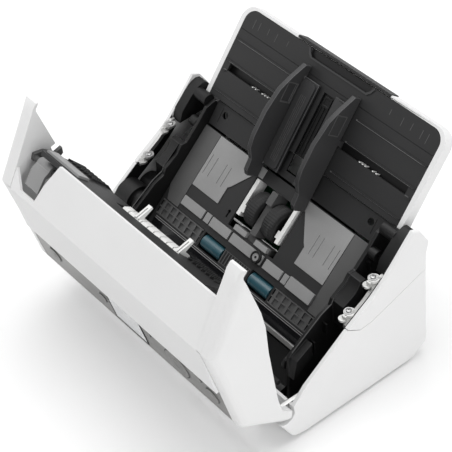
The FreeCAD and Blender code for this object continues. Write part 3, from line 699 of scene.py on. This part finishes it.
@dataclass
class Casing(Assembly):
    """The white shells of the base, its feet and its pan."""

    screen_section: Flat = ((137.2, 66.0), (135.65, 104.0), (135.05, 104.0), (136.6, 66.0))
    screen_half: float = 60.0
    usb_x: tuple[float, float] = (-87.8, -76.2)
    usb_z: tuple[float, float] = (20.2, 30.8)
    usb_wall: float = 2.5
    usb_floor: float = 128.1
    usb_mouth: float = 137.3
    power_x: float = -102.0
    power_reach: tuple[float, float] = (3.15, 5.82)
    power_depth: tuple[float, float] = (-11.8, 0.3)

    def __post_init__(self) -> None:
        """Name the nodes and their edges."""
        self.edges = {"side_panel_left": Edge.PLAIN, "side_panel_right": Edge.PLAIN,
                      "side_trim_left": Edge.PLAIN, "side_trim_right": Edge.PLAIN, "rear_cover": Edge.PLAIN,
                      "front_fascia": Edge.PLAIN, "rubber_feet": Edge.SOFT, "base_pan": Edge.PLAIN}

    def build(self) -> None:
        """Make the dust screen behind the vents and the black shells of the two sockets."""
        screen = Mould("vent_screen")
        screen.prism(UPRIGHT, self.screen_section, -self.screen_half, self.screen_half)
        screen.piece("base", "black_chassis")
        shells = Mould("socket_shells")
        (left, right), (foot, head) = self.usb_x, self.usb_z
        across = (left + self.usb_wall, right - self.usb_wall)
        upward = (foot + self.usb_wall, head - self.usb_wall)
        for x, z in (((left, across[0]), (foot, head)), ((across[1], right), (foot, head)),
                     (across, (foot, upward[0])), (across, (upward[1], head))):
            shells.slab(UPRIGHT, x, (self.usb_floor + 0.1, self.usb_mouth), z)
        shells.slab(UPRIGHT, across, (self.usb_floor, self.usb_floor + 0.5), upward)
        (bore, rim), (deep, proud) = self.power_reach, self.power_depth
        shells.ring(BACK, self.power_x, 0.0, [(bore, deep), (rim, deep), (rim, proud), (bore, proud)])
        shells.piece("base", "black_chassis")
        contacts = Mould("socket_contacts")
        contacts.slab(UPRIGHT, (-84.0, -80.0), (128.6, 135.5), (24.4, 26.6))
        contacts.piece("base", "white_acetal")


@dataclass
class Chassis(Assembly):
    """Walls, sockets, brackets and the plates of the paper path."""

    liner_x: tuple[float, float] = (143.5, 143.9)
    liner_lean: float = 3.0
    liner_depth: float = 15.0
    screw_inset: float = 2.6
    recess_reach: float = 1.4
    comb_ribs: int = 11
    comb_start: float = -17.6
    comb_pitch: float = 3.3
    comb_rib: float = 0.9
    rail_half: float = 107.0
    rail_places: tuple[float, ...] = (-46.2, -44.4, -57.1)
    wheel_at: tuple[float, float] = (18.0, 41.5)
    wheel_x: tuple[float, float] = (104.0, 107.0)
    wheel_reach: tuple[float, float] = (1.6, 6.2)
    hub_x: tuple[float, float] = (103.6, 107.8)
    hub_reach: tuple[float, float] = (0.4, 1.5)
    wall_face: float = 116.7

    def __post_init__(self) -> None:
        """Name the nodes and their edges."""
        self.edges = {"inner_wall_left": Edge.SOFT, "inner_wall_right": Edge.SOFT, "tray_sockets": Edge.SOFT,
                      "latch_plates": Edge.CRISP, "hinge_lugs": Edge.PLAIN, "exit_ramp": Edge.PLAIN,
                      "drive_housing": Edge.SOFT, "drive_motor": Edge.PLAIN,
                      "guide_plates": Edge.CRISP, "side_floors": Edge.CRISP, "entry_blocks": Edge.PLAIN,
                      "roller_web": Edge.PLAIN, "roller_arms": Edge.SOFT, "clamp_bar": Edge.CRISP}

    def seam_liners(self) -> None:
        """Thin black liners behind the edges that the cover closes on."""
        edge = [(-9.5, 43.0), (1.0, 55.8), (47.7, 90.2), (74.6, 107.4), (89.6, 120.2), (93.4, 124.0)]
        foot = [(y + self.liner_lean, z - self.liner_depth) for y, z in reversed(edge)]
        liners = Mould("seam_liners")
        for sign in SIDES.values():
            liners.prism(UPRIGHT, edge + foot, *sided(sign, *self.liner_x))
        liners.piece("base", "black_chassis")

    def screws(self) -> None:
        """Pan head screws with a cross recess on the latch plates, each on a spring washer."""
        low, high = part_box("bracket_screws")
        heads = Mould("bracket_screws_crossed")
        front = (low.y + DEPTH_SHIFT) / MM + self.screw_inset
        rear = (high.y + DEPTH_SHIFT) / MM - self.screw_inset
        ups = {front: low.z / MM, rear: high.z / MM - 1.5}

        def crossed(reach: float, angle: float) -> float:
            """The recess's radius at an angle: four lobes."""
            lobed = 0.55 + 0.45 * abs(math.cos(2 * angle)) ** 3
            return reach if reach > self.recess_reach else reach * lobed
        for sign in SIDES.values():
            x = sign * (high.x / MM - self.screw_inset)
            for y, z in ups.items():
                heads.peg(UPRIGHT, x, y, [(2.55, z), (2.55, z + 0.8), (2.1, z + 1.35), (1.5, z + 1.5),
                                          (1.35, z + 1.5), (1.1, z + 0.7)], 32, crossed)
                heads.ring(UPRIGHT, x, y, [(3.0, z + 0.02), (4.1, z + 0.02),
                                           (4.1, z + 0.42), (3.0, z + 0.42)])
        heads.piece("base", "screw_steel", ["bracket_screws"])

    def path_trim(self) -> None:
        """The feed rollers' comb, the rails along the glass, the sensor knob and the timing wheel."""
        comb = Mould("feed_comb")
        for index in range(self.comb_ribs):
            left = self.comb_start + self.comb_pitch * index
            comb.slab(PATH, (left, left + self.comb_rib), (-41.5, -28.5), (0.02, 0.55))
        for along in (-41.5, -29.0):
            comb.slab(PATH, (-18.2, 18.2), (along, along + 0.5), (0.02, 0.45))
        comb.piece("base", "mid_grey_plastic")
        rails = Mould("glass_rails")
        for along in self.rail_places:
            rails.slab(PATH, (-self.rail_half, self.rail_half), (along, along + 0.45), (0.22, 0.6))
        rails.piece("base", "light_grey_plastic")
        knob = Mould("sensor_knob")
        knob.peg(PATH, 17.4, -16.0, [(5.7, 2.65), (5.7, 4.9), (5.1, 5.4), (3.9, 5.4), (3.7, 4.2), (1.3, 4.2),
                                     (1.1, 5.0)], 40)
        knob.piece("base", "black_chassis")

        def toothed(reach: float, angle: float) -> float:
            """The wheel's radius at an angle: square teeth on its rim."""
            return reach + 0.7 * (math.cos(angle * 20) > 0) if reach > 6 else reach
        wheel = Mould("timing_wheel")
        (near, far), (bore, rim) = self.wheel_x, self.wheel_reach
        section = [(near, bore), (far, bore), (far, rim), (near, rim)]
        wheel.turned(UPRIGHT, self.wheel_at, section, 160, toothed)
        wheel.piece("base", "charcoal_plastic")
        hub = Mould("timing_wheel_hub")
        (near, far), (bore, rim) = self.hub_x, self.hub_reach
        hub.turned(UPRIGHT, self.wheel_at, [(near, bore), (far, bore), (far, rim), (near, rim)], 24)
        hub.piece("base", "white_acetal")

    def wall_trim(self) -> None:
        """Ribs, bosses and a guide channel on the inside of both walls, seen through the open cover."""
        ribs = Mould("wall_ribs")
        for sign in SIDES.values():
            for y, z, tall in ((20, 58, 12), (34, 66, 14), (48, 78, 12), (66, 92, 9), (84, 106, 11),
                               (98, 118, 9)):
                ribs.slab(UPRIGHT, sided(sign, self.wall_face, 121.5), (y, y + 1.4), (z - tall, z))
            near, far = sign * self.wall_face, sign * 125.0
            ribs.turned(UPRIGHT, (104.0, 124.0), [(near, 1.2), (far, 1.2), (far, 5.4), (near, 5.4)], 40)
        ribs.piece("base", "black_chassis")
        rims = Mould("wall_rims")
        line = [(13.0, 65.6), (46.6, 88.6), (57.8, 93.0), (60.8, 98.6)]
        rim = line + [(y + 0.5, z - 0.8) for y, z in reversed(line)]
        for sign in SIDES.values():
            rims.prism(UPRIGHT, rim, *sided(sign, self.wall_face, 117.3))
        rims.piece("base", "mid_grey_plastic")

    def build(self) -> None:
        """Make the liners, the screws and the trim."""
        self.seam_liners()
        self.screws()
        self.path_trim()
        self.wall_trim()


@dataclass
class InputTray(Assembly):
    """The raised tray with its guides: ribs, size ticks, rack teeth and the pull tab."""

    rib_width: float = 1.3
    rib_high: float = 0.55
    long_ribs: tuple[float, ...] = (3.2, 32.3, 53.6)
    short_rib: float = 23.6
    rib_near: float = 38.0
    rib_far: float = 121.5
    highlight_half: float = 0.35
    highlight_high: float = 0.12
    tick_top: float = 78.0
    tick_width: float = 0.5
    glint_places: tuple[float, ...] = (60.0, 63.6, 67.2, 76.5, 80.8)
    glint_width: float = 1.5
    ledge_x: tuple[float, float] = (12.6, 28.9)
    ledge_u: tuple[float, float] = (-24.5, 59.5)
    ledge_corner: float = 3.5
    ledge_steps: int = 5
    ridge_places: tuple[float, ...] = (16.6, 18.6, 20.6, 22.6)
    ridge_width: float = 0.55

    def __post_init__(self) -> None:
        """Name the nodes and their edges."""
        self.edges = {"tray_shell": Edge.SOFT, "tray_extension": Edge.CRISP, "edge_guide_left": Edge.PLAIN,
                      "edge_guide_right": Edge.PLAIN, "entry_flap": Edge.PLAIN, "channel_insert": Edge.CRISP}

    def build(self) -> None:
        """Make the ribs, the pale strips along their tops that are painted highlight, the ticks and the white
        slabs in the slots that are painted glints.
        """
        half = self.rib_width / 2
        top = [(-half, 0.0), (half, 0.0), (half * 0.6, self.rib_high), (-half * 0.6, self.rib_high)]
        ribs = Mould("tray_ribs")
        for sign in SIDES.values():
            for along in self.long_ribs:
                section = [(along + u, h) for u, h in top]
                ribs.prism(TRAY, section, *sided(sign, self.rib_near, self.rib_far))
            section = [(self.short_rib + u, h) for u, h in top]
            ribs.prism(TRAY, section, *sided(sign, 117.4, self.rib_far))
        ribs.piece("base", "mid_grey_plastic")
        # Pale strips on the rib tops: painted highlight.
        rib_highlights = Mould("tray_rib_highlights")
        for sign in SIDES.values():
            for along in self.long_ribs:
                rib_highlights.slab(TRAY, sided(sign, self.rib_near + 1.0, self.rib_far - 3.0),
                            (along - self.highlight_half, along + self.highlight_half),
                            (self.rib_high, self.rib_high + self.highlight_high))
        rib_highlights.piece("base", "light_grey_plastic")
        ticks = Mould("size_ticks")
        for sign in SIDES.values():
            for place, length in ((66.0, 5.0), (81.0, 8.0), (92.0, 6.5), (104.0, 8.0), (111.0, 9.0)):
                across = sided(sign, place, place + self.tick_width)
                ticks.slab(TRAY, across, (self.tick_top - length, self.tick_top), (0.0, 0.12))
        ticks.piece("base", "mid_grey_plastic")
        self.slots()
        self.trough()
        for side, sign in SIDES.items():
            self.guide(side, sign)

    def slots(self) -> None:
        """The dark floor of the guide slots and white slabs along their lower edge as painted glints of the
        rack teeth.
        """
        floors = Mould("slot_floors")
        teeth = Mould("slot_glints")
        for sign in SIDES.values():
            floors.slab(TRAY, sided(sign, 3.0, 120.5), (17.2, 37.8), (-6.48, -6.38))
            # White slabs fixed to the base: painted glints of the rack teeth.
            for place in self.glint_places:
                teeth.slab(TRAY, sided(sign, place, place + self.glint_width), (23.95, 24.8), (-5.6, -0.4))
        floors.piece("base", "black_chassis")
        teeth.piece("base", "white_acetal")

    def trough(self) -> None:
        """The finger trough behind the pull tab: a raised lip in paler plastic as painted highlight, round a
        black floor that is painted shade.
        """
        outer = [(-42.5, 84.6), (-39.5, 79.0), (-36.0, 76.2), (36.0, 76.2), (39.5, 79.0), (42.5, 84.6)]
        inner = [(x * 0.962, u + 1.5) for x, u in reversed(outer)]
        inner[0], inner[-1] = (40.6, 84.6), (-40.6, 84.6)
        # The lip's paler plastic is painted highlight.
        lip = Mould("trough_highlight_lip")
        lip.plate(TRAY, outer + inner, 0.02, 0.95)
        lip.soften(0.3)
        lip.piece("base", "guide_plastic")
        # A black sheet in the trough as painted shade.
        floor = Mould("trough_shade_floor")
        floor.slab(TRAY, (-37.6, 37.6), (78.0, 84.6), (-1.88, -1.7))
        floor.piece("base", "black_chassis")

    def guide(self, side: str, sign: float) -> None:
        """The rounded ledge of an edge guide, its fine ridges and the frames of its finger patches."""
        body = f"guide_{side}"
        (near, far), (foot, head), corner = self.ledge_x, self.ledge_u, self.ledge_corner
        outline = []
        for x, along, start in ((near, foot, 180), (far, foot, 270), (far, head, 0), (near, head, 90)):
            inward = (corner if x == near else -corner, corner if along == foot else -corner)
            for step in range(self.ledge_steps):
                angle = math.radians(start + 90.0 / (self.ledge_steps - 1) * step)
                outline.append((sign * (x + inward[0] + corner * math.cos(angle)),
                                along + inward[1] + corner * math.sin(angle)))
        ledge = Mould(f"guide_ledge_{side}")
        ledge.plate(TRAY, outline, 3.82, 5.6)
        ledge.soften(0.9, 50.0, 3)
        ledge.piece(body, "guide_plastic")
        ridges = Mould(f"guide_ridges_{side}")
        for place in self.ridge_places:
            ridges.slab(TRAY, sided(sign, place, place + self.ridge_width), (-18.0, 46.0), (5.6, 5.9))
        ridges.piece(body, "mid_grey_plastic")
        frames = Mould(f"guide_patch_frames_{side}")
        for low, high in ((29.22, 29.5), (34.0, 34.28)):
            across = sided(sign, low, high)
            for along, up in (((33.2, 34.0), (7.2, 20.8)), ((52.0, 52.8), (7.2, 20.8)),
                              ((34.0, 52.0), (7.2, 8.0)), ((34.0, 52.0), (20.0, 20.8))):
                frames.slab(TRAY, across, along, up)
        frames.piece(body, "mid_grey_plastic")


@dataclass
class Rollers(Assembly):
    """The ribbed pickup tyres and the smooth feed rollers."""

    tyre_ribs: int = 40

    def __post_init__(self) -> None:
        """Name the nodes and their edges."""
        self.edges = {"feed_rollers": Edge.PLAIN, "exit_roller": Edge.PLAIN, "separation_roller": Edge.PLAIN,
                      "pickup_shaft": Edge.PLAIN}

    def build(self) -> None:
        """Make the two ribbed tyres."""
        def ribbed(reach: float, angle: float) -> float:
            """A tyre's radius at an angle: fine ribs on its face, none on its bore."""
            return reach - 0.35 * (0.5 + 0.5 * math.cos(angle * self.tyre_ribs)) if reach > 14 else reach
        tyres = Mould("pickup_tyres_ribbed")
        for sign in SIDES.values():
            near, far = sided(sign, 5.5, 18.5)
            section = [(near, 11.0), (far, 11.0), (far, 16.3), (far - 0.7, 17.0),
                       (near + 0.7, 17.0), (near, 16.3)]
            tyres.turned(PATH, (18.0, -8.0), section, 240, ribbed)
        tyres.piece("pickup", "roller_rubber", ["pickup_tyres"])


@dataclass
class FrontCover(Assembly):
    """The swung-open cover: its shell and cheeks, the inner frame, the fingers and the latch."""

    rib_count: int = 7
    rib_starts: tuple[float, float] = (-104.0, 62.0)
    rib_pitch: float = 5.6
    rib_width: float = 1.2

    def __post_init__(self) -> None:
        """Name the nodes and their edges."""
        self.edges = {"cover_shell": Edge.PLAIN, "cover_cheek_left": Edge.PLAIN,
                      "cover_cheek_right": Edge.PLAIN, "cover_inner_frame": Edge.PLAIN,
                      "guide_fingers": Edge.SOFT, "latch_shaft": Edge.PLAIN}

    def build(self) -> None:
        """Make the lever's paler plate, the film holder behind the lip and the ribs of the inner frame."""
        eased("release_lever", Edge.PLAIN.value, slot="light_grey_plastic")
        film = Mould("film_holder")
        film.prism(COVER, [(88.7, 137.0), (92.4, 150.0), (94.4, 149.4), (90.8, 136.4)], -108.0, -62.0)
        film.soften(0.3)
        film.piece("cover", "light_grey_plastic")
        ribs = Mould("inner_frame_ribs")
        for index in range(2 * self.rib_count):
            turn, place = divmod(index, self.rib_count)
            left = self.rib_starts[turn] + self.rib_pitch * place
            ribs.prism(COVER, [(66.4, 92.2), (78.4, 106.2), (86.2, 127.4), (88.0, 126.6), (80.0, 105.0),
                               (67.8, 90.8)], left, left + self.rib_width)
        ribs.piece("cover", "charcoal_plastic")


@dataclass
class Controls(Assembly):
    """The panel, its buttons and its display."""

    def __post_init__(self) -> None:
        """Name the nodes and their edges."""
        self.edges = {"control_panel": Edge.PLAIN}

    @staticmethod
    def centre(node: str) -> tuple[float, float, float]:
        """A round button's X, its place along the panel and its radius, in millimetres."""
        low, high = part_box(node)
        return (low.x + high.x) / 2 / MM, PANEL.along((low + high) / 2), (high.x - low.x) / 2 / MM

    def build(self) -> None:
        """Make the rims round the buttons, a pale ring outside each rim as painted highlight, the display's
        bezel and the marks on the keys.
        """
        rims = Mould("button_rims")
        glints = Mould("button_glints")
        for node in ("power_button", "menu_button", "select_button", "start_button", "stop_button",
                     "navigation_pad"):
            x, along, reach = self.centre(node)
            rims.ring(PANEL, x, along, [(reach + 0.45, -0.28), (reach + 1.1, -0.28), (reach + 1.1, 0.12),
                                        (reach + 0.45, 0.12)])
            # Pale ring outside each rim: painted highlight.
            glints.ring(PANEL, x, along, [(reach + 1.1, -0.28), (reach + 1.5, -0.28), (reach + 1.5, 0.02),
                                          (reach + 1.1, 0.02)])
        rims.piece("cover", "black_chassis")
        glints.piece("cover", "light_grey_plastic")
        low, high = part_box("lcd_glass")
        half = high.x / MM
        bezel = Mould("display_bezel")
        for x, along in (((-half - 1.2, -half - 0.2), (4.2, 40.4)), ((half + 0.2, half + 1.2), (4.2, 40.4)),
                         ((-half - 0.2, half + 0.2), (4.2, 5.1)), ((-half - 0.2, half + 0.2), (39.5, 40.4))):
            bezel.slab(PANEL, x, along, (-0.28, 0.25))
        bezel.piece("cover", "black_chassis")
        x, along, _ = self.centre("power_button")
        power = Mould("power_mark")
        power.ring(PANEL, x, along, [(2.4, 0.7), (3.1, 0.7), (3.1, 0.82), (2.4, 0.82)])
        power.piece("power_button_body", "light_grey_plastic")
        x, along, _ = self.centre("start_button")
        start = Mould("start_mark")
        spread = 2.6
        corners = [(x - spread, along), (x, along - spread), (x + spread, along), (x, along + spread)]
        start.plate(PANEL, corners, 0.7, 0.82)
        start.piece("start_button_body", "light_grey_plastic")
        x, along, _ = self.centre("navigation_pad")
        pad = Mould("navigation_marks")
        for turn in range(4):
            angle = math.pi / 2 * turn
            tip = (math.cos(angle), math.sin(angle))
            side = (-tip[1], tip[0])
            corners = [(11.6, 0.0), (9.2, 1.7), (9.2, -1.7)]
            pad.plate(PANEL, [(x + out * tip[0] + off * side[0], along + out * tip[1] + off * side[1])
                              for out, off in corners], 0.5, 0.62)
        pad.ring(PANEL, x, along, [(5.2, 0.5), (5.8, 0.5), (5.8, 0.75), (5.2, 0.75)])
        pad.piece("navigation_pad_body", "light_grey_plastic")


@dataclass
class Studio:
    """A pale floor, soft lights and the camera."""

    camera_at: tuple[float, float, float] = (0.8522, -0.6316, 1.0840)
    looks_at: tuple[float, float, float] = (-0.0353, 0.0173, 0.0736)
    roll: float = -4.456
    lens: float = 131.4
    floor_half: float = 6.0

    def floor(self) -> None:
        """A wide pale floor that the scanner stands on."""
        bm = bmesh.new()
        bmesh.ops.create_grid(bm, x_segments=1, y_segments=1, size=self.floor_half)
        mesh = bpy.data.meshes.new("studio_floor")
        bm.to_mesh(mesh)
        bm.free()
        floor = bpy.data.objects.new("studio_floor", mesh)
        bpy.context.scene.collection.objects.link(floor)
        made = Recipe("studio_paper")
        paper = made.noise(0.4, 2.0)
        tone = made.blend(paper, (0.90, 0.90, 0.90), (0.93, 0.93, 0.93))
        floor.data.materials.append(made.surface(tone, 0.85, made.bump(made.noise(0.004), 0.0001, 0.2)))

    def light(self, name: str, at: tuple[float, float, float], size: float, power: float) -> None:
        """A square soft light aimed at the scanner."""
        lamp = bpy.data.lights.new(name, "AREA")
        lamp.size = size
        lamp.energy = power
        made = bpy.data.objects.new(name, lamp)
        made.location = at
        made.rotation_euler = (Vector((0, 0, 0.08)) - Vector(at)).to_track_quat("-Z", "Y").to_euler()
        bpy.context.scene.collection.objects.link(made)

    def camera(self) -> None:
        """The camera, turned about its own line of sight by the roll."""
        lens = bpy.data.cameras.new("camera")
        lens.lens = self.lens
        lens.sensor_width = 36.0
        made = bpy.data.objects.new("camera", lens)
        made.location = self.camera_at
        sight = Vector(self.looks_at) - Vector(self.camera_at)
        turn = sight.to_track_quat("-Z", "Y").to_matrix().to_4x4()
        made.matrix_world = (Matrix.Translation(self.camera_at) @ turn
                             @ Matrix.Rotation(math.radians(self.roll), 4, "Z"))
        bpy.context.scene.collection.objects.link(made)
        bpy.context.scene.camera = made

    def make(self) -> None:
        """Set the whole studio up."""
        scene = bpy.context.scene
        scene.view_settings.view_transform = "Standard"
        world = bpy.data.worlds.new("studio")
        world.use_nodes = True
        sky = world.node_tree.nodes["Background"]
        sky.inputs["Color"].default_value = (1.0, 1.0, 1.0, 1.0)
        sky.inputs["Strength"].default_value = 0.50
        scene.world = world
        self.floor()
        self.camera()
        self.light("overhead_softbox", (-0.4, 0.1, 2.0), 1.8, 29.0)
        self.light("side_fill", (2.2, -0.7, 0.9), 1.4, 17.0)
        self.light("left_fill", (-1.9, -0.9, 0.9), 1.2, 7.0)
        self.light("rear_rim", (0.6, 1.8, 1.3), 1.2, 10.0)


def finish_all_nodes() -> None:
    """Give every CAD node the material of its slot."""
    for name, node in frame["nodes"].items():
        made = Finish.of(slot_of(name))
        if not node.material_slots:
            node.data.materials.append(made)
        for place in node.material_slots:
            place.material = made


def main() -> None:
    """Build the studio and every sub-assembly in order."""
    logging.basicConfig(level=logging.INFO, format="%(name)s: %(message)s")
    Studio().make()
    finish_all_nodes()
    for group in (Casing(), Chassis(), InputTray(), Rollers(), FrontCover(), Controls()):
        group.make()


if __name__ == "__main__":
    main()
